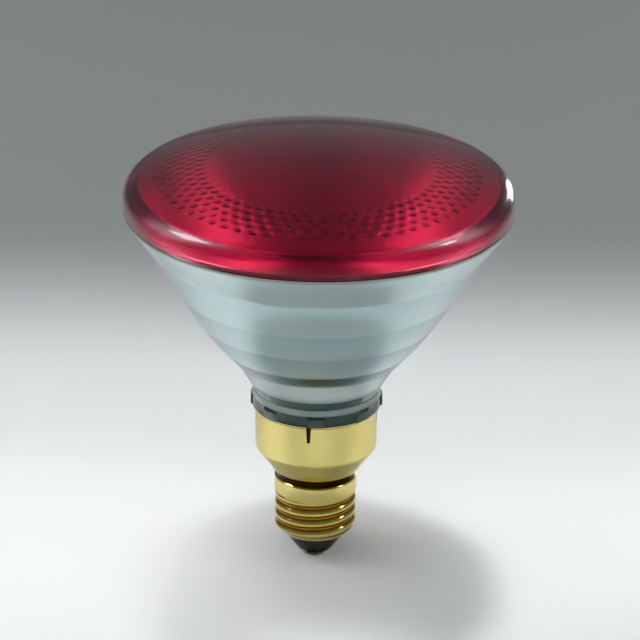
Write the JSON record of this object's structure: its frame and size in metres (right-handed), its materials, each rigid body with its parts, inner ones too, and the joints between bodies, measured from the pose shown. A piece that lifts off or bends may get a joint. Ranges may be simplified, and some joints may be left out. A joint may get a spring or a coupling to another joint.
{
  "type": "infrared heat lamp bulb",
  "caption": "Reflector heat lamp with a red pressed-glass lens, a silvered stepped glass bowl and a brass skirted screw cap.",
  "frame": {"origin": "lowest point of the screw cap, where the centre contact touches the lamp holder, on the lamp's axis", "axes": "+Z along the lamp's axis from the cap towards the red lens, -Y towards the side that is seen"},
  "size_m": [0.121, 0.121, 0.1351],
  "materials": {
    "red_glass": "gloss",
    "clear_glass": "gloss",
    "aluminium_film": "mirror",
    "brass": "polished",
    "black_glass": "gloss",
    "solder": "satin",
    "nickel_iron": "satin",
    "tungsten": "satin",
    "copper_wire": "satin"
  },
  "bodies": {
    "root": {"lens": "red_glass", "reflector": "clear_glass", "reflector_coating": "aluminium_film", "skirt": "brass", "screw_shell": "brass", "insulator": "black_glass", "centre_contact": "brass", "contact_solder": "solder", "ferrule_left": "nickel_iron", "ferrule_right": "nickel_iron", "exhaust_tip": "clear_glass", "lead_rod_left": "nickel_iron", "lead_rod_right": "nickel_iron", "glass_bridge": "clear_glass", "filament": "tungsten", "support_wire_left": "tungsten", "support_wire_right": "tungsten", "cap_wire_centre": "copper_wire", "cap_wire_shell": "copper_wire", "shell_solder": "solder"}
  },
  "joints": []
}
